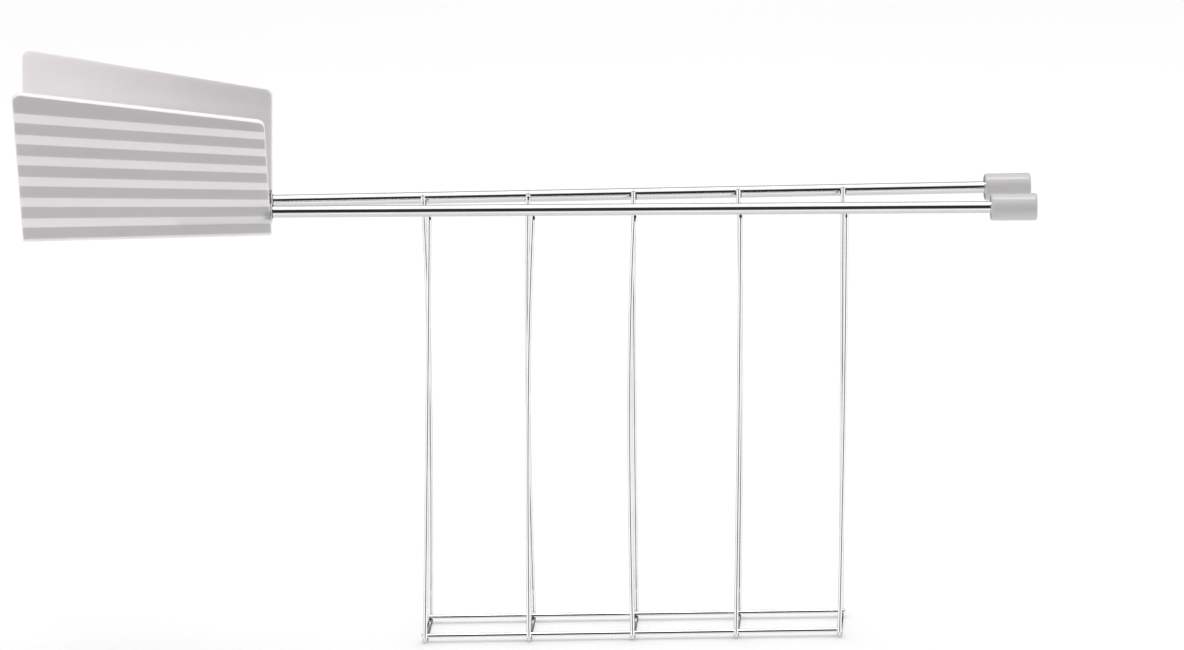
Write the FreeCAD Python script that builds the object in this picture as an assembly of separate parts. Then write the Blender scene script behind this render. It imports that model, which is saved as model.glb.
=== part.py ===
import FreeCAD, Part
import math
import os

# Sandwich cage for a slot toaster. Millimetres, +X along the rods towards the end caps,
# +Y from the front side to the back side, +Z up. The cage stands on z = 0.

# Spring wires and bottom rails
wire_dia = 1.5
wire_count = 5
wire_pitch = 36.0
first_wire_x = -35.75
bend_radius = 1.5
weld_depth = 0.05
foot_skew = 1.1
front_leg_start_z = 3.0
rail_half_gap = 9.15
rail_overhang = 0.6

# Carrier rods
rod_dia = 4.0
rod_height = 156.2
rod_half_gap_handle = 6.25
rod_half_gap_cap = 11.85
leg_weld_depth = 0.15
front_leg_top_above_rod = 0.4
back_leg_top_above_rod = 1.65
front_leg_lean = (2.1, 1.5, 0.0, 0.0, 0.0)

# End caps
cap_end_x = 172.85
cap_dia = 9.2
cap_length = 15.7
cap_wall = 3.0
cap_edge_radius = 0.7

# Handle plates
handle_x = -87.25
handle_inner_offset = 0.95
handle_splay = 16.9
handle_flare = 2.4
plate_bottom = -8.4
plate_top_inner = 37.8
plate_top_outer = 51.8
front_plate_low_outer_u = 84.4
front_plate_top_outer_u = 86.4
front_plate_top_inner_u = 2.1
back_plate_low_outer_u = 85.2
back_plate_top_outer_u = 85.4
back_plate_top_inner_u = -0.1
pleat_far_u = 89.2
plate_thickness = 2.0
plate_corner_radius = 2.8
pleat_depth = 0.8
pleat_count = 7
pleat_pitch_inner = 6.71
pleat_pitch_outer = 8.60
pleat_start_inner = -0.28
pleat_start_outer = -0.75
socket_radius = 2.75
socket_depth = 30.0
socket_end_wall = 2.0
socket_collar = 0.2

wire_r = wire_dia / 2.0
rod_r = rod_dia / 2.0
rail_z = wire_r + wire_dia - weld_depth
rod_toe = (rod_half_gap_cap - rod_half_gap_handle) / (cap_end_x - handle_x)
toe_angle = math.atan(rod_toe)
foot_y = rail_half_gap + bend_radius
bend_top_z = wire_r + bend_radius


def vec(x, y, z):
    return FreeCAD.Vector(x, y, z)


def rod_y(x):
    return rod_half_gap_handle + rod_toe * (x - handle_x)


def wire_x(index):
    return first_wire_x + wire_pitch * index


def bar(start, end, radius):
    axis = end.sub(start)
    return Part.makeCylinder(radius, axis.Length, start, axis)


def front_copy(shape):
    return shape.mirror(vec(0, 0, 0), vec(0, 1, 0))


def export(shape, name):
    solid = shape.removeSplitter()
    if len(solid.Solids) != 1:
        raise RuntimeError(name + " is not one solid")
    solid.Solids[0].exportStep("parts/" + name + ".step")


# A rod runs from the bottom of its socket to the end wall of its cap, toed in to the handle.
rod_start_x = handle_x - socket_depth
rod_end_x = cap_end_x - cap_wall


def make_rod():
    start = vec(rod_start_x, rod_y(rod_start_x), rod_height)
    end = vec(rod_end_x, rod_y(rod_end_x), rod_height)
    return bar(start, end, rod_r)


# The cap is a round plug over the rod's free end, closed at the outer end.
def make_cap():
    along = vec(math.cos(toe_angle), math.sin(toe_angle), 0)
    end = vec(cap_end_x, rod_y(cap_end_x), rod_height)
    start = end.sub(along.multiply(cap_length))
    body = bar(start, end, cap_dia / 2.0)
    rims = [edge for edge in body.Edges if edge.Closed]
    body = body.makeFillet(cap_edge_radius, rims)
    inside = vec(rod_end_x, rod_y(rod_end_x), rod_height)
    outside = vec(start.x - 5.0, rod_y(start.x - 5.0), rod_height)
    return body.cut(bar(outside, inside, rod_r))


# The plate is drawn in its own frame: U runs out along the grip, V up it, W out of it.
def handle_frame():
    splay = math.radians(handle_splay)
    flare = math.radians(handle_flare)
    u_axis = vec(-math.cos(flare), math.sin(flare), 0)
    level = vec(math.sin(flare), math.cos(flare), 0)
    v_axis = vec(level.x * math.sin(splay), level.y * math.sin(splay), math.cos(splay))
    w_axis = vec(level.x * math.cos(splay), level.y * math.cos(splay), -math.sin(splay))
    origin = vec(handle_x, rod_half_gap_handle + handle_inner_offset, rod_height)
    return origin, u_axis, v_axis, w_axis


def to_world(u, v, w):
    origin, u_axis, v_axis, w_axis = handle_frame()
    point = origin.add(FreeCAD.Vector(u_axis).multiply(u))
    point = point.add(FreeCAD.Vector(v_axis).multiply(v))
    return point.add(FreeCAD.Vector(w_axis).multiply(w))


# Pleat section at one end of the plate: flat facets between ridges level with the outer face
# and valleys cut into it. The band above the last ridge is plain.
def pleat_section(u, top, pitch, start):
    valley_w = plate_thickness - pleat_depth
    points = [
        to_world(u, plate_bottom - 4.0, 0),
        to_world(u, plate_bottom - 4.0, valley_w),
    ]
    for i in range(pleat_count):
        valley_v = plate_bottom + start + pitch * (i - 0.25)
        points.append(to_world(u, valley_v, valley_w))
        points.append(to_world(u, valley_v + 0.5 * pitch, plate_thickness))
    points.append(to_world(u, top + 4.0, plate_thickness))
    points.append(to_world(u, top + 4.0, 0))
    return Part.makePolygon(points + [points[0]])


# Outline of the plate: square bottom corners, rounded top corners, right through its thickness.
# The two plates lean a little apart along their rods, so their outlines differ.
def plate_outline(low_outer_u, top_outer_u, top_inner_u):
    low_in = (0.0, plate_bottom)
    low_out = (low_outer_u, plate_bottom)
    top_out = (top_outer_u, plate_top_outer)
    top_in = (top_inner_u, plate_top_inner)
    corners = [low_in, low_out, top_out, top_in]
    points = [to_world(u, v, -1.0) for u, v in corners]
    face = Part.Face(Part.makePolygon(points + [points[0]]))
    w_axis = handle_frame()[3]
    prism = face.extrude(w_axis.multiply(plate_thickness + 2.0))
    uprights = []
    for edge in prism.Edges:
        middle = edge.CenterOfMass
        for corner in (top_out, top_in):
            mark = to_world(corner[0], corner[1], plate_thickness / 2.0)
            if middle.sub(mark).Length < 0.01:
                uprights.append(edge)
    return prism.makeFillet(plate_corner_radius, uprights)


# The socket is a closed tube on the inside of the plate, joined to it by a short web.
def make_handle(outline):
    near = pleat_section(-4.0, plate_top_inner, pleat_pitch_inner, pleat_start_inner)
    far = pleat_section(pleat_far_u, plate_top_outer, pleat_pitch_outer, pleat_start_outer)
    plate = Part.makeLoft([near, far], True, True).common(outline)
    mouth_x = handle_x + socket_collar
    back_x = rod_start_x - socket_end_wall
    mouth = vec(mouth_x, rod_y(mouth_x), rod_height)
    back = vec(back_x, rod_y(back_x), rod_height)
    tube = bar(back, mouth, socket_radius)
    mouth_rim = [edge for edge in tube.Edges if edge.Closed and edge.CenterOfMass.x > handle_x]
    tube = tube.makeFillet(0.2, mouth_rim)
    reach = socket_depth + socket_end_wall
    corners = [to_world(0.5, v, w) for v, w in ((-2.3, -2.4), (1.2, -2.4), (1.2, 1.0), (-2.3, 1.0))]
    web_face = Part.Face(Part.makePolygon(corners + [corners[0]]))
    u_axis = handle_frame()[1]
    web = web_face.extrude(u_axis.multiply(reach - 0.5))
    body = plate.fuse([tube, web])
    rod_end = vec(rod_start_x, rod_y(rod_start_x), rod_height)
    clear = vec(mouth_x + 5.0, rod_y(mouth_x + 5.0), rod_height)
    return body.cut(bar(rod_end, clear, rod_r))


# A leg rises from its foot beside the rail to a rounded end welded inside its rod. Back legs
# grow out of their base bends; front legs start above theirs, where the front side flexes.
# The first two front legs are welded a little out of line with their feet.
def make_leg(index, side):
    x = wire_x(index)
    start_z = bend_top_z - weld_depth
    top_x = x
    top_z = rod_height + back_leg_top_above_rod
    if side < 0:
        start_z = front_leg_start_z
        top_x = x + front_leg_lean[index]
        top_z = rod_height + front_leg_top_above_rod
    foot = vec(x + side * foot_skew, side * foot_y, start_z)
    top_y = rod_y(top_x) - rod_r - wire_r + leg_weld_depth
    top = vec(top_x, side * top_y, top_z)
    return bar(foot, top, wire_r).fuse(Part.makeSphere(wire_r, top))


# A base bend is the bottom of one U wire: a straight run with a quarter turn at each end.
def make_base_bend(index):
    centre = vec(wire_x(index), 0, 0)
    span = math.hypot(foot_skew, foot_y)
    along = vec(foot_skew / span, foot_y / span, 0)
    half = span - bend_radius
    diagonal = bend_radius * math.sqrt(0.5)
    points = []
    for side in (-1, 1):
        step = FreeCAD.Vector(along).multiply(side)
        tip = centre.add(FreeCAD.Vector(step).multiply(span)).add(vec(0, 0, bend_top_z))
        middle = centre.add(FreeCAD.Vector(step).multiply(half + diagonal))
        middle = middle.add(vec(0, 0, bend_top_z - diagonal))
        low = centre.add(FreeCAD.Vector(step).multiply(half)).add(vec(0, 0, wire_r))
        points.append((tip, middle, low))
    front, back = points
    path = Part.Wire([
        Part.Arc(front[0], front[1], front[2]).toShape(),
        Part.makeLine(front[2], back[2]),
        Part.Arc(back[2], back[1], back[0]).toShape(),
    ])
    section = Part.Wire([Part.makeCircle(wire_r, front[0], vec(0, 0, -1))])
    return path.makePipeShell([section], True, True)


def make_rail(side):
    y = side * rail_half_gap
    start_x = wire_x(0) + side * foot_skew - wire_r - rail_overhang
    end_x = wire_x(wire_count - 1) + side * foot_skew + wire_r + rail_overhang
    return bar(vec(start_x, y, rail_z), vec(end_x, y, rail_z), wire_r)


os.makedirs("parts", exist_ok=True)

rod = make_rod()
cap = make_cap()
front_outline = plate_outline(
    front_plate_low_outer_u, front_plate_top_outer_u, front_plate_top_inner_u)
back_outline = plate_outline(
    back_plate_low_outer_u, back_plate_top_outer_u, back_plate_top_inner_u)
export(rod, "back_rod")
export(front_copy(rod), "front_rod")
export(cap, "back_end_cap")
export(front_copy(cap), "front_end_cap")
export(make_handle(back_outline), "back_handle")
export(front_copy(make_handle(front_outline)), "front_handle")
export(make_rail(-1), "front_bottom_rail")
export(make_rail(1), "back_bottom_rail")
for i in range(wire_count):
    export(make_base_bend(i), "base_bend_" + str(i + 1))
    export(make_leg(i, -1), "front_leg_" + str(i + 1))
    export(make_leg(i, 1), "back_leg_" + str(i + 1))
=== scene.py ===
import math
import bmesh
import bpy
from mathutils import Matrix, Vector


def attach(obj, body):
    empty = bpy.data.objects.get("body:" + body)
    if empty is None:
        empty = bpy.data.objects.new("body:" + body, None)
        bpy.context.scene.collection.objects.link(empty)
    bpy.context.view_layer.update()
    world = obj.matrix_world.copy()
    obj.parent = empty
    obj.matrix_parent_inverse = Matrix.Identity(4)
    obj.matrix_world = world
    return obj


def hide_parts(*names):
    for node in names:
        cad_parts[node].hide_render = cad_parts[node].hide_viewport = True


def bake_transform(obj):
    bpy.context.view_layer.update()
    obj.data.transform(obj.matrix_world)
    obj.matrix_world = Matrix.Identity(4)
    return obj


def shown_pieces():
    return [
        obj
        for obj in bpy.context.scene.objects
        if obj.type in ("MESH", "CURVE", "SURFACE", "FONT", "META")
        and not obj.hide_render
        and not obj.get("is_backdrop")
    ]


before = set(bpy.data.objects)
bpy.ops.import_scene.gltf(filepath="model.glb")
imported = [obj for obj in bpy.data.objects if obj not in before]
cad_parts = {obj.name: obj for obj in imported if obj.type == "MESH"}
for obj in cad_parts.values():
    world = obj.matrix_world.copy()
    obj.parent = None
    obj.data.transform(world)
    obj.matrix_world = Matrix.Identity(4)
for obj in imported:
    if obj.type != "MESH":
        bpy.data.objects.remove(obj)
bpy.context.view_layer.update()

MM = 0.001
HINGED = "front_side"
STANDING = "back_side_and_base"

# Sizes in millimetres, as in the CAD source: first the wires and rails, then the rods and caps.
WIRE_R = 0.75
WIRE_COUNT = 5
WIRE_PITCH = 36.0
FIRST_WIRE_X = -35.75
BEND_R = 1.5
FOOT_SKEW = 1.1
RAIL_GAP = 9.15
RAIL_Z = 2.2
RAIL_OVERHANG = 0.6
LEG_WELD = 0.15
FRONT_TOP = 0.4
BACK_TOP = 1.65
FRONT_LEAN = (2.1, 1.5, 0.0, 0.0, 0.0)
ROD_R = 2.0
ROD_Z = 156.2
GAP_HANDLE = 6.25
GAP_CAP = 11.85
CAP_END_X = 172.85
CAP_R = 4.6
CAP_LENGTH = 15.7
CAP_WALL = 3.0
CAP_EDGE = 0.7
ROD_EDGE = 0.25

# The grips. GRIP_ENDS holds, for each side, where the low outer, top outer and top inner corners
# lie along the grip. The pleat lines are drawn between PLEAT_NEAR and PLEAT_FAR.
HANDLE_X = -87.25
GRIP_ENDS = {-1.0: (84.4, 86.4, 2.1), 1.0: (85.2, 85.4, -0.1)}
GRIP_OFFSET = 0.95
GRIP_SPLAY = math.radians(16.9)
GRIP_FLARE = math.radians(2.4)
GRIP_LOW = -8.4
GRIP_TOP_INNER = 37.8
GRIP_TOP_OUTER = 51.8
GRIP_THICK = 2.0
GRIP_CORNER = 2.8
GRIP_HEEL = 0.9
GRIP_EDGE = 0.35
GRIP_TOP_REACH = 86.0
PLEATS = 7
PLEAT_DEPTH = 0.8
PLEAT_NEAR = -4.0
PLEAT_FAR = 89.2
PITCH_INNER = 6.71
PITCH_OUTER = 8.60
START_INNER = -0.28
START_OUTER = -0.75
LAST_RIDGE = PLEATS - 0.75
CREASE = 0.06
SOCKET_R = 2.75
SOCKET_DEPTH = 30.0
SOCKET_WALL = 2.0
SOCKET_COLLAR = 0.2
COLLAR_LENGTH = 3.0
COLLAR_RIM = 0.2
RIB_START = 0.25
RIB_LENGTH = 29.5
RIB_ROOT = 0.3
RIB_TIP_WIDTH = 0.35
SEAM_R = 2.36

# The bores of the grips and caps stand this far off the rod.
SOCKET_PLAY = 0.05
CAP_PLAY = 0.04

# Painted light and shade on the grip, times the material's own tone. Alternate facets of each pleat
# carry painted shade and painted light.
# Painted shade on one facet of each pleat.
PAINTED_SHADE_FACET = 0.89
# Painted shade on the plain band above the pleats.
PAINTED_SHADE_BAND = 0.84
# Painted light on the other facet of each pleat.
PAINTED_LIGHT_FACET = 1.15
# Painted light on the inner face, rising from the rod's end to the far end.
INNER_PAINTED_LIGHT_ROD_END = 1.0
INNER_PAINTED_LIGHT_FAR_END = 1.25
# Painted light on the thin rim all round the plate.
PAINTED_LIGHT_RIM = 1.2

# The smallest radius of a turned surface, where it meets its axis.
TIP_R = 0.002

# A ring of points this far from a rounded edge keeps the long face beside it from shading round.
SUPPORT = 0.15

# Radii of the weld nuggets: at a leg's top and at a rail; and of a dark bead of painted shade beside a
# leg's foot.
LEG_NUGGET = (0.7, 0.4, 0.8)
RAIL_NUGGET = (0.62, 0.8, 0.4)
FOOT_SHADE_BEAD = (0.55, 0.4, 0.55)

# Spots of painted shade at the welds: dx and dy from the leg's top, dz from the rod's axis, and three
# radii.
FRONT_SHADE_SPOTS = (
    [(0.1, 0.68, -3.35, 0.42, 0.3, 0.72)],
    [(0.1, 0.68, -3.4, 0.4, 0.3, 0.85)],
    [(0.0, 0.68, -3.3, 0.5, 0.3, 0.7), (0.0, 0.66, -4.3, 0.28, 0.24, 0.85)],
    [(0.0, 0.68, -3.3, 0.5, 0.3, 0.7), (0.0, 0.66, -4.3, 0.28, 0.24, 0.85)],
    [(0.0, 0.7, -3.5, 0.34, 0.2, 0.95)],
)
BACK_SHADE_SPOTS = (
    [(0.0, -0.62, -0.7, 0.26, 0.2, 0.3), (0.95, 0.35, -1.2, 0.22, 0.3, 0.9)],
    [(0.0, -0.62, 0.45, 0.5, 0.26, 0.35), (0.0, -0.62, -0.2, 0.3, 0.26, 0.5)],
    [(-0.95, 0.35, 0.3, 0.2, 0.3, 0.9), (0.95, 0.35, -0.5, 0.2, 0.3, 1.0)],
    [(-0.95, 0.35, 0.2, 0.2, 0.3, 0.8), (0.95, 0.35, -0.6, 0.2, 0.3, 0.9)],
    [(-0.9, 0.4, 0.1, 0.18, 0.3, 0.7), (0.9, 0.4, -0.1, 0.18, 0.3, 0.7)],
)

# How far the middle of each leg stands out of line, along X: hand-welded wires aren't straight.
FRONT_BOW = (0.1, -1.05, -1.4, 0.2, 0.35)
BACK_BOW = (1.1, -1.0, -0.2, 0.8, -0.1)
LEG_STEPS = 52

# A leg stands out of line by its bow times this gain times t * (1 - t * t), where t goes from 0 at
# its foot to 1 at its top. That is at most about the bow itself, a little above the middle.
BOW_GAIN = 2.66625

TOE = (GAP_CAP - GAP_HANDLE) / (CAP_END_X - HANDLE_X)
ROD_START_X = HANDLE_X - SOCKET_DEPTH
ROD_END_X = CAP_END_X - CAP_WALL
FOOT_Y = RAIL_GAP + BEND_R
BEND_TOP_Z = WIRE_R + BEND_R


def rod_y(x):
    return GAP_HANDLE + TOE * (x - HANDLE_X)


def rod_point(x):
    return Vector((x, rod_y(x), ROD_Z))


def wire_x(index):
    return FIRST_WIRE_X + WIRE_PITCH * index


# ---------------------------------------------------------------- mesh helpers

def add_object(name, data):
    obj = bpy.data.objects.new(name, data)
    bpy.context.scene.collection.objects.link(obj)
    return obj


def make_object(name, verts, faces, side=1.0):
    """A smooth mesh object from points in millimetres, mirrored to the front when side is -1."""
    mesh = bpy.data.meshes.new(name)
    mesh.from_pydata([(x * MM, side * y * MM, z * MM) for x, y, z in verts], [], faces)
    work = bmesh.new()
    work.from_mesh(mesh)
    bmesh.ops.recalc_face_normals(work, faces=work.faces[:])
    work.to_mesh(mesh)
    work.free()
    for polygon in mesh.polygons:
        polygon.use_smooth = True
    return add_object(name, mesh)


def merge(*parts):
    verts, faces = [], []
    for part_verts, part_faces in parts:
        base = len(verts)
        verts += [tuple(v) for v in part_verts]
        faces += [tuple(base + i for i in face) for face in part_faces]
    return verts, faces


def skin(rings):
    """Quads between closed rings of the same number of points, with a face on each end."""
    count = len(rings[0])
    verts = [point for ring in rings for point in ring]
    faces = []
    for j in range(len(rings) - 1):
        for k in range(count):
            n = (k + 1) % count
            a, b = j * count, (j + 1) * count
            faces.append((a + k, a + n, b + n, b + k))
    last = (len(rings) - 1) * count
    faces.append(tuple(reversed(range(count))))
    faces.append(tuple(last + k for k in range(count)))
    return verts, faces


def lathe(origin, axis, profile, segments):
    """A surface of revolution: profile is (distance along axis, radius) from end to end."""
    axis = Vector(axis).normalized()
    across = axis.cross(Vector((0, 0, 1))).normalized()
    up = across.cross(axis)
    rings = []
    for along, radius in profile:
        ring = []
        for k in range(segments):
            a = 2 * math.pi * k / segments
            spoke = across * math.cos(a) + up * math.sin(a)
            ring.append(Vector(origin) + axis * along + spoke * max(radius, TIP_R))
        rings.append(ring)
    return skin(rings)


def arc(centre, radius, start, end, steps=8):
    points = []
    for i in range(steps + 1):
        a = math.radians(start + (end - start) * i / steps)
        points.append((centre[0] + radius * math.cos(a), centre[1] + radius * math.sin(a)))
    return points


def dome(point, tangent, normal, radius, sign):
    """The rings of a wire's domed end, from the wire to just short of the tip."""
    steps = 5
    rings = []
    for i in range(1, steps + 1):
        a = math.radians(88.0 * i / steps)
        centre = point + tangent * sign * radius * math.sin(a)
        rings.append((centre, radius * math.cos(a), tangent, normal))
    return rings


def tube(points, radius, segments):
    """A round wire along points, with domed ends."""
    path = [Vector(p) for p in points]
    frames = []
    normal = None
    for i, point in enumerate(path):
        ahead = path[min(i + 1, len(path) - 1)]
        behind = path[max(i - 1, 0)]
        tangent = (ahead - behind).normalized()
        normal = normal or tangent.orthogonal().normalized()
        normal = (normal - tangent * normal.dot(tangent)).normalized()
        frames.append((point, radius, tangent, normal.copy()))
    first, last = frames[0], frames[-1]
    head = dome(first[0], first[2], first[3], radius, -1.0)
    tail = dome(last[0], last[2], last[3], radius, 1.0)
    frames = head[::-1] + frames + tail
    turn = [2 * math.pi * k / segments for k in range(segments)]
    rings = []
    for point, r, tangent, normal in frames:
        side = tangent.cross(normal)
        rings.append([point + (normal * math.cos(a) + side * math.sin(a)) * r for a in turn])
    return skin(rings)


# ---------------------------------------------------------------- rods and end caps

def make_rod(name, side):
    """A rod with lightly rounded ends, from the bottom of its socket into its cap."""
    length = (rod_point(ROD_END_X) - rod_point(ROD_START_X)).length
    pieces = 24
    flat = ROD_R - ROD_EDGE
    start = [(0, 0), (0, flat)]
    start += [(ROD_EDGE - x, flat + y) for x, y in arc((0, 0), ROD_EDGE, 0, 90, 4)[1:]]
    body = [(ROD_EDGE + SUPPORT, ROD_R)]
    body += [(length * i / pieces, ROD_R) for i in range(1, pieces)]
    body += [(length - ROD_EDGE - SUPPORT, ROD_R)]
    end = [(length - x, r) for x, r in reversed(start)]
    surface = lathe(rod_point(ROD_START_X), (1, TOE, 0), start + body + end, 72)
    return make_object(name, *surface, side=side)


def make_cap(name, side):
    """A blunt plug with rounded rims, and a bore that the rod fills."""
    mouth = rod_point(CAP_END_X) - Vector((1, TOE, 0)).normalized() * CAP_LENGTH
    flat, bore = CAP_R - CAP_EDGE, ROD_R + CAP_PLAY
    bottom, far_edge = CAP_LENGTH - CAP_WALL, CAP_LENGTH - CAP_EDGE
    lead_in = 0.35
    profile = [(bottom, 0), (bottom, bore), (1.0, bore), (lead_in, bore), (0.1, bore + 0.1)]
    profile += [(0, bore + lead_in), (0, bore + 0.6), (0, flat - SUPPORT)]
    profile += arc((CAP_EDGE, flat), CAP_EDGE, 180, 90)
    profile += [(CAP_EDGE + SUPPORT, CAP_R), (CAP_LENGTH * 0.5, CAP_R), (far_edge - SUPPORT, CAP_R)]
    profile += arc((far_edge, flat), CAP_EDGE, 90, 0)
    profile += [(CAP_LENGTH, flat - SUPPORT), (CAP_LENGTH, flat * 0.5), (CAP_LENGTH, 0)]
    return make_object(name, *lathe(mouth, (1, TOE, 0), profile, 80), side=side)


# ---------------------------------------------------------------- grips
# A grip is drawn in its own frame: U runs out along it, V up it, W out of it.

def grip_axes():
    u_axis = Vector((-math.cos(GRIP_FLARE), math.sin(GRIP_FLARE), 0))
    level = Vector((math.sin(GRIP_FLARE), math.cos(GRIP_FLARE), 0))
    v_axis = level * math.sin(GRIP_SPLAY) + Vector((0, 0, math.cos(GRIP_SPLAY)))
    w_axis = level * math.cos(GRIP_SPLAY) - Vector((0, 0, math.sin(GRIP_SPLAY)))
    return Vector((HANDLE_X, GAP_HANDLE + GRIP_OFFSET, ROD_Z)), u_axis, v_axis, w_axis


GRIP_ORIGIN, GRIP_U, GRIP_V, GRIP_W = grip_axes()


def grip_point(u, v, w):
    return GRIP_ORIGIN + GRIP_U * u + GRIP_V * v + GRIP_W * w


def pleat_line(s):
    """Both ends of pleat line s. It counts pleats from the lowest, whose ridge is at 0.25."""
    near = Vector((PLEAT_NEAR, GRIP_LOW + START_INNER + PITCH_INNER * s))
    far = Vector((PLEAT_FAR, GRIP_LOW + START_OUTER + PITCH_OUTER * s))
    return near, far


def pleat_place(u, v):
    """The number of the pleat line that a point is on, as in pleat_line."""
    t = (u - PLEAT_NEAR) / (PLEAT_FAR - PLEAT_NEAR)
    pitch = PITCH_INNER + (PITCH_OUTER - PITCH_INNER) * t
    start = START_INNER + (START_OUTER - START_INNER) * t
    return (v - GRIP_LOW - start) / pitch


def pleat_height(u, v):
    """Flat facets from ridges at 0 down to valleys at minus the pleat depth, with soft creases."""
    s = pleat_place(u, v)
    if s > LAST_RIDGE + CREASE:
        return 0.0
    if s > LAST_RIDGE - CREASE:
        return -PLEAT_DEPTH * (LAST_RIDGE + CREASE - s) ** 2 / (2.0 * CREASE)
    x = abs(s - 0.25 - round(s - 0.25))
    if x < CREASE:
        return -PLEAT_DEPTH * (x * x + CREASE * CREASE) / CREASE
    if x > 0.5 - CREASE:
        y = 0.5 - x
        return -PLEAT_DEPTH * (1.0 - (y * y + CREASE * CREASE) / CREASE)
    return -PLEAT_DEPTH * 2.0 * x


def pleat_stations():
    """Rows of the plate mesh: close together across each crease, and a few along each facet."""
    rows = []
    for k in range(2 * PLEATS - 1):
        crease = 0.25 + 0.5 * k
        rows += [crease + CREASE * step / 2.0 for step in (-2, -1, 0, 1, 2)]
        if k < 2 * PLEATS - 2:
            rows += [crease + step for step in (0.15, 0.25, 0.35)]
    return rows


def meet(a, b, c, d):
    """Where line a-b crosses line c-d."""
    r, s = b - a, d - c
    t = ((c - a).x * s.y - (c - a).y * s.x) / (r.x * s.y - r.y * s.x)
    return a + r * t


def corner_arc(corner, toward_a, toward_b, radius, steps):
    """Points and outward normals round a corner, from the side towards a to the side towards b."""
    a, b = (toward_a - corner).normalized(), (toward_b - corner).normalized()
    half = a.angle(b) / 2.0
    middle = corner + (a + b).normalized() * (radius / math.sin(half))
    start = corner + a * (radius / math.tan(half)) - middle
    end = corner + b * (radius / math.tan(half)) - middle
    turn = start.angle_signed(end)
    out = []
    for i in range(steps + 1):
        spoke = start.copy()
        spoke.rotate(Matrix.Rotation(-turn * i / steps, 2))
        out.append((middle + spoke, spoke.normalized()))
    return out


def grip_chains(side, inset):
    """The left and right borders of the plate, upwards, as lists of (point, outward normal)."""
    low_end, top_end, top_start = GRIP_ENDS[side]
    low_in, low_out = Vector((0, GRIP_LOW)), Vector((low_end, GRIP_LOW))
    top_out = Vector((top_end, GRIP_TOP_OUTER))
    top_in = Vector((top_start, GRIP_TOP_INNER))
    corners = [low_in, low_out, top_out, top_in]
    sides = []
    for i in range(4):
        a, b = corners[i], corners[(i + 1) % 4]
        inward = Vector((-(b - a).y, (b - a).x)).normalized()
        sides.append((a + inward * inset, b + inward * inset))
    inner = [meet(*sides[i - 1], *sides[i]) for i in range(4)]
    chains = []
    for low, top, other_low, other_top in ((0, 3, 1, 2), (1, 2, 0, 3)):
        foot = corner_arc(inner[low], inner[other_low], inner[top], GRIP_HEEL - inset, 5)
        head = corner_arc(inner[top], inner[low], inner[other_top], GRIP_CORNER - inset, 10)
        normal = foot[-1][1]
        middle = []
        lowest, highest = foot[-1][0].y + 0.1, head[0][0].y - 0.2
        for s in pleat_stations():
            point = meet(inner[low], inner[top], *pleat_line(s))
            if lowest < point.y < highest:
                middle.append((s, point))
        chains.append((foot, middle, head, normal))
    shared = {s for s, _ in chains[0][1]} & {s for s, _ in chains[1][1]}
    result = []
    for foot, middle, head, normal in chains:
        kept = [(point, normal) for s, point in middle if s in shared]
        result.append(foot + kept + head)
    return result


def plate_mesh(side):
    """The plate: pleated outer face, plain inner face, and a rounded rim all round.

    The points of the rim come last, from the index that is given back with the mesh.
    """
    left, right = grip_chains(side, GRIP_EDGE)
    columns = 48
    rows = []
    for (a, _), (b, _) in zip(left, right):
        rows.append([a.lerp(b, i / (columns - 1)) for i in range(columns)])
    count = len(rows)
    verts, faces = [], []
    for height in (lambda p: GRIP_THICK + pleat_height(p.x, p.y), lambda p: 0.0):
        for row in rows:
            verts += [grip_point(p.x, p.y, height(p)) for p in row]
    sheet = count * columns
    for base in (0, sheet):
        for j in range(count - 1):
            for i in range(columns - 1):
                a = base + j * columns + i
                faces.append((a, a + 1, a + columns + 1, a + columns))
    # The border in order: along the bottom, up the right side, back along the top, down the left.
    last_row = (count - 1) * columns
    top_normal = right[-1][1]
    border = [(i, rows[0][i], Vector((0, -1))) for i in range(1, columns - 1)]
    border += [(j * columns + columns - 1, *right[j]) for j in range(count)]
    border += [(last_row + i, rows[-1][i], top_normal) for i in range(columns - 2, 0, -1)]
    border += [(j * columns, *left[j]) for j in range(count - 1, -1, -1)]
    rim = []
    steps = 5
    for k in range(1, steps + 1):
        a = math.radians(90.0 * k / steps)
        rim.append((GRIP_EDGE * math.sin(a), -GRIP_EDGE * (1 - math.cos(a)), True))
    rim.append((GRIP_EDGE, None, True))
    for k in range(steps, 0, -1):
        a = math.radians(90.0 * k / steps)
        rim.append((GRIP_EDGE * math.sin(a), GRIP_EDGE * (1 - math.cos(a)), False))
    rings = [[index for index, _, _ in border]]
    for reach, drop, outer in rim:
        ring = []
        for _, p, normal in border:
            top = GRIP_THICK + pleat_height(p.x, p.y)
            w = 0.5 * top if drop is None else (top + drop if outer else drop)
            ring.append(len(verts))
            verts.append(grip_point(p.x + normal.x * reach, p.y + normal.y * reach, w))
        rings.append(ring)
    rings.append([index + sheet for index, _, _ in border])
    around = len(border)
    for a, b in zip(rings, rings[1:]):
        for k in range(around):
            n = (k + 1) % around
            faces.append((a[k], a[n], b[n], b[k]))
    return (verts, faces), 2 * sheet


def rib_section(u):
    """Section of the half tube, with flared feet, on the inside of the plate, as (v, w) points."""
    x = HANDLE_X - u
    offset = rod_point(x) - GRIP_ORIGIN
    centre_v, centre_w = offset.dot(GRIP_V), offset.dot(GRIP_W)
    flare = min(0.8, -centre_w - 0.02)
    foot = SOCKET_R + flare
    points = [(centre_v - SOCKET_R - flare * 1.02, RIB_ROOT)]
    points += [(centre_v + a, b) for a, b in arc((-foot, -flare), flare, 90, 0, 6)]
    points += [(centre_v + a, centre_w + b) for a, b in arc((0, 0), SOCKET_R, 180, 360, 24)]
    points += [(centre_v + a, b) for a, b in arc((foot, -flare), flare, 180, 90, 6)]
    points.append((centre_v + SOCKET_R + flare * 1.02, RIB_ROOT))
    return centre_v, points


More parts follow.
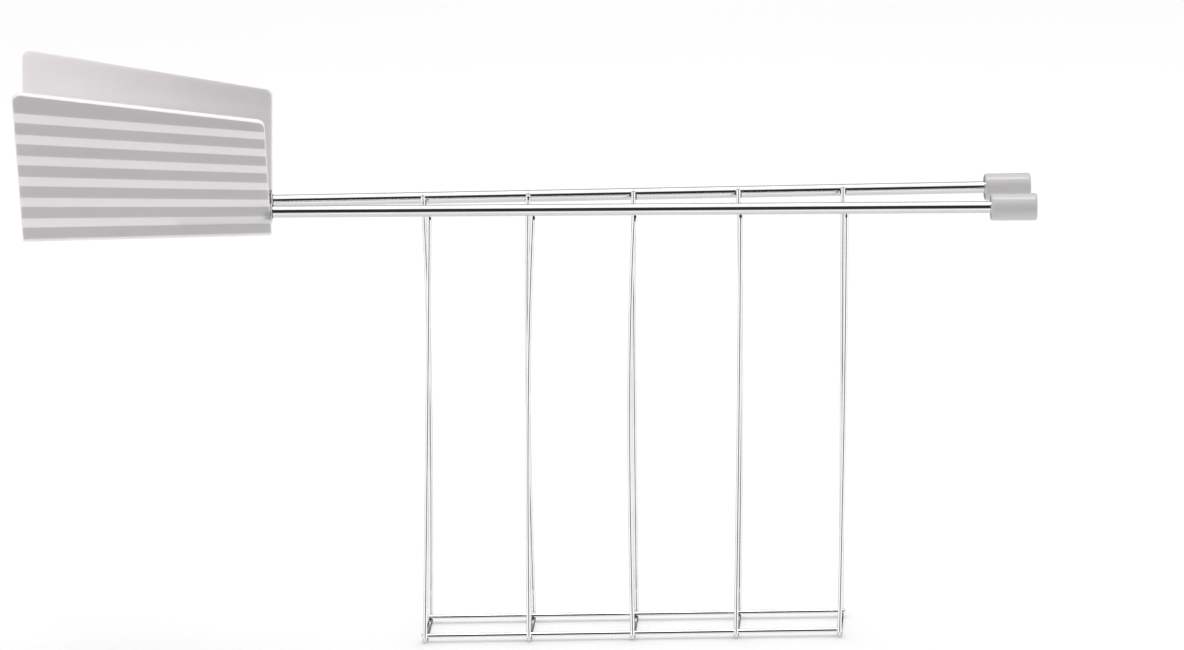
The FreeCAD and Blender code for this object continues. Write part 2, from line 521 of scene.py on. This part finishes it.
def socket_meshes():
    """The moulded socket: a rib inside the plate, and the collar round the rod's entry."""
    stations = [(RIB_START + RIB_LENGTH * i / 12.0, 1.0) for i in range(13)]
    straight_end = RIB_START + RIB_LENGTH
    reach = SOCKET_DEPTH + SOCKET_WALL - straight_end - SUPPORT
    for k in range(1, 9):
        a = math.radians(88.0 * k / 8)
        stations.append((straight_end + reach * math.sin(a), math.cos(a)))
    last_section = SOCKET_DEPTH + 0.5 * SOCKET_WALL
    rings = []
    for u, size in stations:
        centre_v, points = rib_section(min(u, last_section))
        ring = []
        width = RIB_TIP_WIDTH + (1.0 - RIB_TIP_WIDTH) * size
        for v, w in points:
            depth = w * size if w < 0 else w
            ring.append(grip_point(u, centre_v + (v - centre_v) * width, depth))
        rings.append(ring)
    rib = skin(rings)
    bore = ROD_R + SOCKET_PLAY
    mouth = COLLAR_LENGTH + SOCKET_COLLAR
    rounding = reversed(arc((mouth - COLLAR_RIM, SOCKET_R - COLLAR_RIM), COLLAR_RIM, 0, 90, 6))
    profile = [(0.2, 1.8), (0.2, SOCKET_R - 0.3), (1.0, SOCKET_R - 0.02), (1.6, SOCKET_R)]
    profile += [(mouth - COLLAR_RIM - 0.1, SOCKET_R), *rounding]
    profile += [(mouth, bore + 0.3), (mouth - 0.1, bore + 0.1), (mouth - 0.3, bore)]
    profile += [(1.2, bore), (1.2, 1.7)]
    collar = lathe(rod_point(HANDLE_X - COLLAR_LENGTH), (1, TOE, 0), profile, 56)
    return rib, collar


def painted_light_and_shade(u, v, w):
    """Painted light and shade at a point: painted light rising along the inner face, painted shade on
    the plain band, and painted shade and painted light on alternate facets.
    """
    if w < GRIP_THICK - 1.3 * PLEAT_DEPTH:
        # Painted light along the inner face, rising towards the far end.
        along = min(1.0, max(0.0, u / GRIP_TOP_REACH))
        return INNER_PAINTED_LIGHT_ROD_END + (INNER_PAINTED_LIGHT_FAR_END - INNER_PAINTED_LIGHT_ROD_END) * along
    s = pleat_place(u, v)
    # The plain band above the last ridge gets painted shade.
    if s > LAST_RIDGE + 0.01:
        return PAINTED_SHADE_BAND
    # Alternate facets: painted light on one, painted shade on the other.
    x = (s + 0.25) % 1.0
    step = min(1.0, min(x, abs(x - 0.5), 1.0 - x) / (0.5 * CREASE))
    middle = 0.5 * (PAINTED_SHADE_FACET + PAINTED_LIGHT_FACET)
    return middle + (PAINTED_LIGHT_FACET - middle) * (step if x < 0.5 else -step)


def make_grip(name, side):
    """A grip, with the painted light and shade of each facet and the painted light of its thin rim
    kept on the mesh for the material.
    """
    plate, rim_start = plate_mesh(side)
    obj = make_object(name, *merge(plate, *socket_meshes()), side=side)
    tone = obj.data.attributes.new("tone", "FLOAT", "POINT")
    rim_end = len(plate[0])
    for vertex in obj.data.vertices:
        x, y, z = vertex.co / MM
        offset = Vector((x, side * y, z)) - GRIP_ORIGIN
        value = painted_light_and_shade(offset.dot(GRIP_U), offset.dot(GRIP_V), offset.dot(GRIP_W))
        # The rim's points carry painted light.
        tone.data[vertex.index].value = PAINTED_LIGHT_RIM if rim_start <= vertex.index < rim_end else value
    return obj


# ---------------------------------------------------------------- wires and rails

def leg_top(index, side):
    x = wire_x(index) + (FRONT_LEAN[index] if side < 0 else 0.0)
    z = ROD_Z + (FRONT_TOP if side < 0 else BACK_TOP)
    return Vector((x, side * (rod_y(x) - ROD_R - WIRE_R + LEG_WELD), z))


def leg_points(index, side, bow):
    """A leg from just above its bend to its weld on the rod, bowed a little along X."""
    x = wire_x(index)
    foot = Vector((x + side * FOOT_SKEW, side * FOOT_Y, BEND_TOP_Z))
    top = leg_top(index, side)
    points = []
    for i in range(1, LEG_STEPS + 1):
        t = i / LEG_STEPS
        lean = bow * BOW_GAIN * t * (1.0 - t * t)
        points.append(foot.lerp(top, t) + Vector((lean, 0, 0)))
    return points


def bend_points(index, side):
    """Half of the bottom run of a wire, from its middle out and round the quarter turn."""
    span = math.hypot(FOOT_SKEW, FOOT_Y)
    along = Vector((FOOT_SKEW, FOOT_Y, 0)) / span * side
    centre = Vector((wire_x(index), 0, 0))
    points = []
    for i in range(9):
        reach = (span - BEND_R) * i / 8.0
        points.append(centre + along * reach + Vector((0, 0, WIRE_R)))
    for i in range(1, 9):
        a = math.radians(90.0 * i / 8)
        reach = span - BEND_R + BEND_R * math.sin(a)
        points.append(centre + along * reach + Vector((0, 0, WIRE_R + BEND_R * (1 - math.cos(a)))))
    return points


def make_wire(index):
    """One U wire, from its weld on the front rod, under the cage, to its weld on the back rod."""
    front = bend_points(index, -1.0) + leg_points(index, -1.0, FRONT_BOW[index])
    back = bend_points(index, 1.0) + leg_points(index, 1.0, BACK_BOW[index])
    path = front[::-1] + back[1:]
    return make_object(f"spring_wire_{index + 1}", *tube(path, WIRE_R, 20))


def make_rail(name, side):
    y = side * RAIL_GAP
    start = wire_x(0) + side * FOOT_SKEW - RAIL_OVERHANG
    end = wire_x(WIRE_COUNT - 1) + side * FOOT_SKEW + RAIL_OVERHANG
    points = [(start + (end - start) * i / 30.0, y, RAIL_Z) for i in range(31)]
    return make_object(name, *tube(points, WIRE_R, 24))


def bead(centre, radii, seed):
    """A small lumpy weld bead: a squashed ball with uneven sides."""
    rings = []
    for j in range(9):
        lat = math.radians(-86 + 172 * j / 8.0)
        ring = []
        for k in range(16):
            lon = 2 * math.pi * k / 16
            lump = 1.0 + 0.06 * math.sin(3 * lon + seed) * math.cos(lat)
            lump += 0.04 * math.sin(5 * lat + seed * 1.7)
            ring.append(Vector(centre) + Vector((
                radii[0] * math.cos(lat) * math.cos(lon) * lump,
                radii[1] * math.cos(lat) * math.sin(lon) * lump,
                radii[2] * math.sin(lat) * lump)))
        rings.append(ring)
    return skin(rings)


def make_rod_beads(name, side):
    """The weld nuggets between the legs and one rod, and spots of painted shade beside them, all
    coloured near-black as painted shade.
    """
    parts = []
    for i in range(WIRE_COUNT):
        top = leg_top(i, side)
        y = rod_y(top.x) - ROD_R + 0.1
        spots = FRONT_SHADE_SPOTS if side < 0 else BACK_SHADE_SPOTS
        parts.append(bead((top.x, y, ROD_Z - 0.4), LEG_NUGGET, i + 2.0 * side))
        for dx, dy, dz, rx, ry, rz in spots[i]:
            parts.append(bead((top.x + dx, abs(top.y) + dy, ROD_Z + dz), (rx, ry, rz), i + dz))
    return make_object(name, *merge(*parts), side=side)


def make_rail_beads(name, side):
    """The weld nuggets between the wires and one bottom rail, and on the back rail beads of painted
    shade beside the feet, all coloured near-black as painted shade.
    """
    parts = []
    for i in range(WIRE_COUNT):
        x = wire_x(i) + side * FOOT_SKEW * RAIL_GAP / FOOT_Y
        parts.append(bead((x, side * (RAIL_GAP + 0.1), 1.5), RAIL_NUGGET, i + 5.0 * side))
        if side > 0 and i < WIRE_COUNT - 1:
            parts.append(bead((x - 0.1, side * (RAIL_GAP - 0.75), 1.35), FOOT_SHADE_BEAD, i + 9.0))
    return make_object(name, *merge(*parts))


def make_shade_ring(name, side):
    """A near-black ring of painted shade round a rod where it enters its socket."""
    mouth = COLLAR_LENGTH + SOCKET_COLLAR
    profile = [(mouth - 0.5, ROD_R - 0.1), (mouth - 0.5, SEAM_R - 0.1), (mouth - 0.4, SEAM_R)]
    profile += [(mouth + 0.1, SEAM_R), (mouth + 0.22, SEAM_R - 0.12), (mouth + 0.25, ROD_R - 0.1)]
    surface = lathe(rod_point(HANDLE_X - COLLAR_LENGTH), (1, TOE, 0), profile, 48)
    return make_object(name, *surface, side=side)


# ---------------------------------------------------------------- materials

def new_material(name):
    material = bpy.data.materials.new(name)
    material.use_nodes = True
    tree = material.node_tree
    shader = tree.nodes["Principled BSDF"]
    return material, tree, shader


def coordinates(tree, scale):
    """Object coordinates times scale, one number per axis."""
    source = tree.nodes.new("ShaderNodeTexCoord")
    mapping = tree.nodes.new("ShaderNodeMapping")
    mapping.inputs["Scale"].default_value = scale
    tree.links.new(source.outputs["Object"], mapping.inputs["Vector"])
    return mapping.outputs["Vector"]


def noise(tree, scale, detail, stretch=(1, 1, 1)):
    node = tree.nodes.new("ShaderNodeTexNoise")
    node.inputs["Scale"].default_value = scale
    node.inputs["Detail"].default_value = detail
    tree.links.new(coordinates(tree, stretch), node.inputs["Vector"])
    return node.outputs["Fac"]


def ramp(tree, value, stops):
    node = tree.nodes.new("ShaderNodeValToRGB")
    node.color_ramp.elements[0].position, node.color_ramp.elements[0].color = stops[0]
    node.color_ramp.elements[1].position, node.color_ramp.elements[1].color = stops[-1]
    for position, color in stops[1:-1]:
        node.color_ramp.elements.new(position).color = color
    tree.links.new(value, node.inputs["Fac"])
    return node.outputs["Color"]


def spread(tree, value, low, high):
    node = tree.nodes.new("ShaderNodeMapRange")
    node.inputs["From Min"].default_value = 0.25
    node.inputs["From Max"].default_value = 0.75
    node.inputs["To Min"].default_value = low
    node.inputs["To Max"].default_value = high
    tree.links.new(value, node.inputs["Value"])
    return node.outputs["Result"]


def bump(tree, shader, height, strength, distance):
    node = tree.nodes.new("ShaderNodeBump")
    node.inputs["Strength"].default_value = strength
    node.inputs["Distance"].default_value = distance
    tree.links.new(height, node.inputs["Height"])
    tree.links.new(node.outputs["Normal"], shader.inputs["Normal"])


def grey(value, tint=(1.0, 1.0, 1.0)):
    return (value * tint[0], value * tint[1], value * tint[2], 1.0)


def chrome(name, low, high, rough_low, rough_high):
    """Bright plating: faint cloudy patches, and fine draw marks along the rod or wire."""
    material, tree, shader = new_material(name)
    shader.inputs["Metallic"].default_value = 1.0
    cool = (1.0, 0.995, 1.0)
    clouds = noise(tree, 60.0, 4.0, (1.0, 2.0, 2.0))
    tone = ramp(tree, clouds, [(0.3, grey(low, cool)), (0.7, grey(high, cool))])
    gloss = spread(tree, noise(tree, 140.0, 3.0, (1.0, 3.0, 3.0)), rough_low, rough_high)
    tree.links.new(tone, shader.inputs["Base Color"])
    tree.links.new(gloss, shader.inputs["Roughness"])
    bump(tree, shader, noise(tree, 900.0, 2.0, (0.12, 1.0, 1.0)), 0.06, 0.00002)
    return material


def plastic(name, dark, light, roughness, grain, glow=0.0, painted_shading=False):
    """Satin moulding: slow tone drift, fine grain, uneven gloss, translucency where it glows, and,
    where asked, painted light and shade read from the mesh.
    """
    material, tree, shader = new_material(name)
    mauve, warm = (1.0, 0.972, 0.985), (1.0, 0.98, 0.985)
    drift = noise(tree, 22.0, 5.0)
    tone = ramp(tree, drift, [(0.32, grey(dark, mauve)), (0.68, grey(light, warm))])
    # The mesh's tone is painted light and shade, multiplied into the colour.
    if painted_shading:
        reader = tree.nodes.new("ShaderNodeAttribute")
        reader.attribute_name = "tone"
        scale = tree.nodes.new("ShaderNodeVectorMath")
        scale.operation = "SCALE"
        tree.links.new(tone, scale.inputs[0])
        tree.links.new(reader.outputs["Fac"], scale.inputs["Scale"])
        tone = scale.outputs["Vector"]
    gloss = spread(tree, noise(tree, 320.0, 2.0), roughness - 0.05, roughness + 0.05)
    tree.links.new(tone, shader.inputs["Base Color"])
    tree.links.new(gloss, shader.inputs["Roughness"])
    shader.inputs["IOR"].default_value = 1.49
    if glow:
        shader.inputs["Subsurface Weight"].default_value = 1.0
        shader.inputs["Subsurface Radius"].default_value = (1.0, 0.96, 0.95)
        shader.inputs["Subsurface Scale"].default_value = glow
    bump(tree, shader, noise(tree, 2600.0, 2.0), grain, 0.00003)
    return material


def painted_shade_black(name, dark, light):
    """Near-black painted shade: dark, rough and patchy."""
    material, tree, shader = new_material(name)
    tone = ramp(tree, noise(tree, 900.0, 4.0), [(0.3, grey(dark)), (0.7, grey(light))])
    tree.links.new(tone, shader.inputs["Base Color"])
    tree.links.new(spread(tree, noise(tree, 1500.0, 3.0), 0.45, 0.7), shader.inputs["Roughness"])
    bump(tree, shader, noise(tree, 2400.0, 3.0), 0.3, 0.00004)
    return material


rod_chrome = chrome("rod_chrome", 0.68, 0.72, 0.04, 0.07)
wire_steel = chrome("wire_steel", 0.78, 0.84, 0.08, 0.14)
# Near-black painted shade for the weld nuggets, the spots beside them and the beads at the back feet.
weld_painted_shade = painted_shade_black("weld_painted_shade", 0.012, 0.035)
# Near-black painted shade for the ring where a rod enters its socket.
gap_painted_shade = painted_shade_black("gap_painted_shade", 0.015, 0.035)
grip_plastic = plastic("grip_plastic", 0.71, 0.73, 0.42, 0.25, 0.0018, True)
cap_plastic = plastic("cap_plastic", 0.57, 0.595, 0.17, 0.06)


# ---------------------------------------------------------------- assembly

def place(obj, body, material, slot, *nodes):
    obj.data.materials.append(material)
    if nodes:
        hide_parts(*nodes)
    if body:
        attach(obj, body)


for end, side, body in (("front", -1.0, HINGED), ("back", 1.0, STANDING)):
    rod = make_rod(f"{end}_carrier_rod", side)
    cap = make_cap(f"{end}_cap", side)
    grip = make_grip(f"{end}_grip", side)
    rod_welds = make_rod_beads(f"{end}_rod_welds", side)
    socket_shade_ring = make_shade_ring(f"{end}_socket_shade_ring", side)
    rail = make_rail(f"{end}_rail", side)
    rail_welds = make_rail_beads(f"{end}_rail_welds", side)
    place(rod, body, rod_chrome, "rod_chrome", f"{end}_rod")
    place(cap, body, cap_plastic, "cap_plastic", f"{end}_end_cap")
    place(grip, body, grip_plastic, "grip_plastic", f"{end}_handle")
    place(rod_welds, body, weld_painted_shade, "wire_steel")
    place(socket_shade_ring, body, gap_painted_shade, "grip_plastic")
    place(rail, STANDING, wire_steel, "wire_steel", f"{end}_bottom_rail")
    place(rail_welds, STANDING, weld_painted_shade, "wire_steel")

# Each U wire is one mesh, in place of its base bend and both legs; it is attached to neither body.
for i in range(WIRE_COUNT):
    wire = make_wire(i)
    nodes = (f"base_bend_{i + 1}", f"front_leg_{i + 1}", f"back_leg_{i + 1}")
    place(wire, None, wire_steel, "wire_steel", *nodes)
    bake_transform(wire)


# ---------------------------------------------------------------- floor, light and camera
# Sizes in metres.

# Brightness of the tent by the height of the direction looked in, from -1 straight down to 1
# straight up. It is one list in front, one at the sides and one behind. FRONT_SPREAD and
# BACK_SPREAD say how wide the openings are, and the SOFTNESS values how soft their edges are.
FRONT_LEVELS = [(-1.0, 0.98), (-0.5, 0.97), (-0.43, 0.06), (-0.2, 0.05), (-0.1, 0.04),
                (0.79, 0.04), (0.83, 1.42), (1.0, 1.42)]
SIDE_LEVELS = [(-1.0, 0.86), (-0.62, 0.86), (-0.45, 1.2), (-0.1, 1.25), (0.0, 1.25),
               (0.1, 0.85), (0.7, 0.8), (1.0, 0.8)]
BACK_LEVELS = [(-1.0, 0.92), (-0.6, 0.9), (-0.48, 0.06), (0.3, 0.05), (0.4, 0.8),
               (0.7, 0.85), (0.84, 1.42), (1.0, 1.42)]
FRONT_SPREAD = 0.40
FRONT_SOFTNESS = 0.06
BACK_SPREAD = 1.1
BACK_SOFTNESS = 0.08

FLOOR_HALF = 6.0
FLOOR_DROP = 0.00002
FLOOR_TONE = 0.85
FLOOR_WASH = 0.6
SURROUND_TONE = 0.88
SURROUND_RADIUS = 10.0
SOFTBOX_AIM = 0.15
ROD_FILL_NEAR = 0.24
ROD_FILL_FAR = 1.3
ROD_FILL_WIDTH = 2.4
ROD_FILL_LEVEL = 0.92
ROD_FILL_HEIGHT = 0.002


def make_floor(name, material):
    """A pale table top. The tent's own lower half stands in for it in polished metal."""
    cells = 24
    step = 2 * FLOOR_HALF / cells
    marks = [-FLOOR_HALF + i * step for i in range(cells + 1)]
    faces = []
    for j in range(cells):
        for i in range(cells):
            a = j * (cells + 1) + i
            faces.append((a, a + 1, a + cells + 2, a + cells + 1))
    mesh = bpy.data.meshes.new(name)
    mesh.from_pydata([(x, y, -FLOOR_DROP) for y in marks for x in marks], [], faces)
    mesh.materials.append(material)
    floor = add_object(name, mesh)
    floor.visible_glossy = False
    floor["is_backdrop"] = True
    return floor


def floor_white():
    material, tree, shader = new_material("floor_white")
    stops = [(0.3, grey(FLOOR_TONE)), (0.7, grey(FLOOR_TONE + 0.015))]
    tone = ramp(tree, noise(tree, 3.0, 4.0), stops)
    tree.links.new(tone, shader.inputs["Base Color"])
    shader.inputs["Roughness"].default_value = 0.9
    shader.inputs["Specular IOR Level"].default_value = 0.2
    return material


def surround_pale():
    """Nearly the same pale tone in every direction, whatever light falls on it."""
    material, tree, shader = new_material("surround_pale")
    stops = [(0.3, grey(SURROUND_TONE)), (0.7, grey(SURROUND_TONE + 0.02))]
    tone = ramp(tree, noise(tree, 0.04, 2.0), stops)
    tree.links.new(tone, shader.inputs["Emission Color"])
    shader.inputs["Emission Strength"].default_value = 1.0
    shader.inputs["Base Color"].default_value = (0.0, 0.0, 0.0, 1.0)
    shader.inputs["Specular IOR Level"].default_value = 0.0
    material.cycles.emission_sampling = "NONE"
    return material


def make_surround(name, radius, material):
    """A plain pale backdrop all round, past the table, that neither lights nor shades the object."""
    mesh = bpy.data.meshes.new(name)
    build = bmesh.new()
    bmesh.ops.create_uvsphere(build, u_segments=64, v_segments=32, radius=radius)
    build.to_mesh(mesh)
    build.free()
    mesh.materials.append(material)
    mesh.shade_smooth()
    surround = add_object(name, mesh)
    surround.visible_diffuse = False
    surround.visible_glossy = False
    surround.visible_transmission = False
    surround.visible_volume_scatter = False
    surround.visible_shadow = False
    surround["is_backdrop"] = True


def smooth_step(tree, value, start, end):
    """0 at start and 1 at end, with a soft change between them."""
    node = tree.nodes.new("ShaderNodeMapRange")
    node.interpolation_type = "SMOOTHSTEP"
    node.inputs["From Min"].default_value = start
    node.inputs["From Max"].default_value = end
    tree.links.new(value, node.inputs["Value"])
    return node.outputs["Result"]


def maths(tree, operation, a, b=None):
    """One math node, where a and b are outputs of other nodes or plain numbers."""
    node = tree.nodes.new("ShaderNodeMath")
    node.operation = operation
    for value, socket in ((a, node.inputs[0]), (b, node.inputs[1])):
        if isinstance(value, (int, float)):
            socket.default_value = value
        elif value is not None:
            tree.links.new(value, socket)
    return node.outputs[0]


def blend_levels(tree, a, b, mask):
    """Level a where the mask is 0, and b where it is 1."""
    return maths(tree, "ADD", a, maths(tree, "MULTIPLY", mask, maths(tree, "SUBTRACT", b, a)))


def level_by_height(tree, height, stops):
    """Brightness by height, on a ramp that holds half of each level so that none is above 1."""
    place_on_ramp = maths(tree, "MULTIPLY_ADD", height, 0.5)
    place_on_ramp.node.inputs[2].default_value = 0.5
    colour = ramp(tree, place_on_ramp, [(0.5 + 0.5 * z, grey(0.5 * level)) for z, level in stops])
    return maths(tree, "MULTIPLY", colour, 2.0)


def make_world():
    """A light tent with a dark opening in front, where the photographer stands, and one behind."""
    world = bpy.data.worlds.new("light_tent")
    bpy.context.scene.world = world
    world.use_nodes = True
    tree = world.node_tree
    background = tree.nodes["Background"]
    source = tree.nodes.new("ShaderNodeTexCoord")
    split = tree.nodes.new("ShaderNodeSeparateXYZ")
    tree.links.new(source.outputs["Generated"], split.inputs[0])
    depth, height = split.outputs["Y"], split.outputs["Z"]
    across = maths(tree, "ABSOLUTE", split.outputs["X"])
    past_front = maths(tree, "ADD", across, maths(tree, "MULTIPLY", depth, FRONT_SPREAD))
    past_back = maths(tree, "SUBTRACT", across, maths(tree, "MULTIPLY", depth, BACK_SPREAD))
    in_front = smooth_step(tree, past_front, FRONT_SOFTNESS, -FRONT_SOFTNESS)
    behind = smooth_step(tree, past_back, BACK_SOFTNESS, -BACK_SOFTNESS)
    level = level_by_height(tree, height, SIDE_LEVELS)
    level = blend_levels(tree, level, level_by_height(tree, height, FRONT_LEVELS), in_front)
    level = blend_levels(tree, level, level_by_height(tree, height, BACK_LEVELS), behind)
    tree.links.new(level, background.inputs["Strength"])
    background.inputs["Color"].default_value = (1.0, 1.0, 1.0, 1.0)


def area_lamp(name, width, depth, radiance):
    """A rectangular lamp of an even radiance, itself hidden from the camera."""
    data = bpy.data.lights.new(name, "AREA")
    data.shape = "RECTANGLE"
    data.size, data.size_y = width, depth
    data.energy = radiance * math.pi * width * depth
    lamp = add_object(name, data)
    lamp.visible_camera = False
    return lamp


def light_only(lamp, receivers):
    """Let the lamp light these objects and nothing else."""
    group = bpy.data.collections.new(lamp.name + "_receivers")
    for obj in receivers:
        group.objects.link(obj)
    lamp.light_linking.receiver_collection = group


def make_softbox(name, place_at, width, depth, radiance):
    """A softbox that looks down at the object."""
    lamp = area_lamp(name, width, depth, radiance)
    lamp.location = place_at
    lamp.rotation_euler = (-math.atan2(place_at[1], place_at[2] - SOFTBOX_AIM), 0.0, 0.0)


def make_floor_wash(floor):
    """A very wide soft light for the table alone, so that it stays white round the object."""
    data = bpy.data.lights.new("floor_wash", "SUN")
    data.energy = FLOOR_WASH
    data.angle = math.radians(120.0)
    lamp = add_object("floor_wash", data)
    lamp.location = (0.0, 0.3, 2.0)
    light_only(lamp, [floor])


def make_rod_fill(rods):
    """The lit table top in front of the object, as the polished rods show it."""
    depth = ROD_FILL_FAR - ROD_FILL_NEAR
    lamp = area_lamp("rod_fill", ROD_FILL_WIDTH, depth, ROD_FILL_LEVEL)
    lamp.location = (0.0, -0.5 * (ROD_FILL_NEAR + ROD_FILL_FAR), ROD_FILL_HEIGHT)
    lamp.rotation_euler = (math.pi, 0.0, 0.0)
    light_only(lamp, rods)


white_floor = make_floor("studio_floor", floor_white())
make_surround("studio_surround", SURROUND_RADIUS, surround_pale())
make_world()
make_softbox("overhead", (0.06, 0.12, 1.3), 0.72, 0.42, 4.7)
make_floor_wash(white_floor)
make_rod_fill([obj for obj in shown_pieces() if obj.name.endswith("_carrier_rod")])

# The camera looks about 18 degrees down and 2 to the right, from 2.2 m.
DISTANCE = 2.2
PITCH = 0.32
YAW = 0.0327
ROLL = -0.0032
TARGET = Vector((0.02175, 0.0, 0.11205))
level_look = Vector((math.sin(YAW), math.cos(YAW), 0))
look = level_look * math.cos(PITCH) - Vector((0, 0, math.sin(PITCH)))
right = Vector((math.cos(YAW), -math.sin(YAW), 0))
up = right.cross(look)
tilted_right = right * math.cos(ROLL) + up * math.sin(ROLL)
tilted_up = up * math.cos(ROLL) - right * math.sin(ROLL)
lens = bpy.data.cameras.new("camera")
lens.sensor_width = 36.0
lens.lens = 194.81
lens.clip_start = 0.05
lens.clip_end = 50.0
camera = add_object("camera", lens)
turn = Matrix((tilted_right, tilted_up, -look)).transposed()
camera.matrix_world = Matrix.Translation(TARGET - look * DISTANCE) @ turn.to_4x4()
bpy.context.scene.camera = camera
bpy.context.scene.view_settings.view_transform = "Standard"
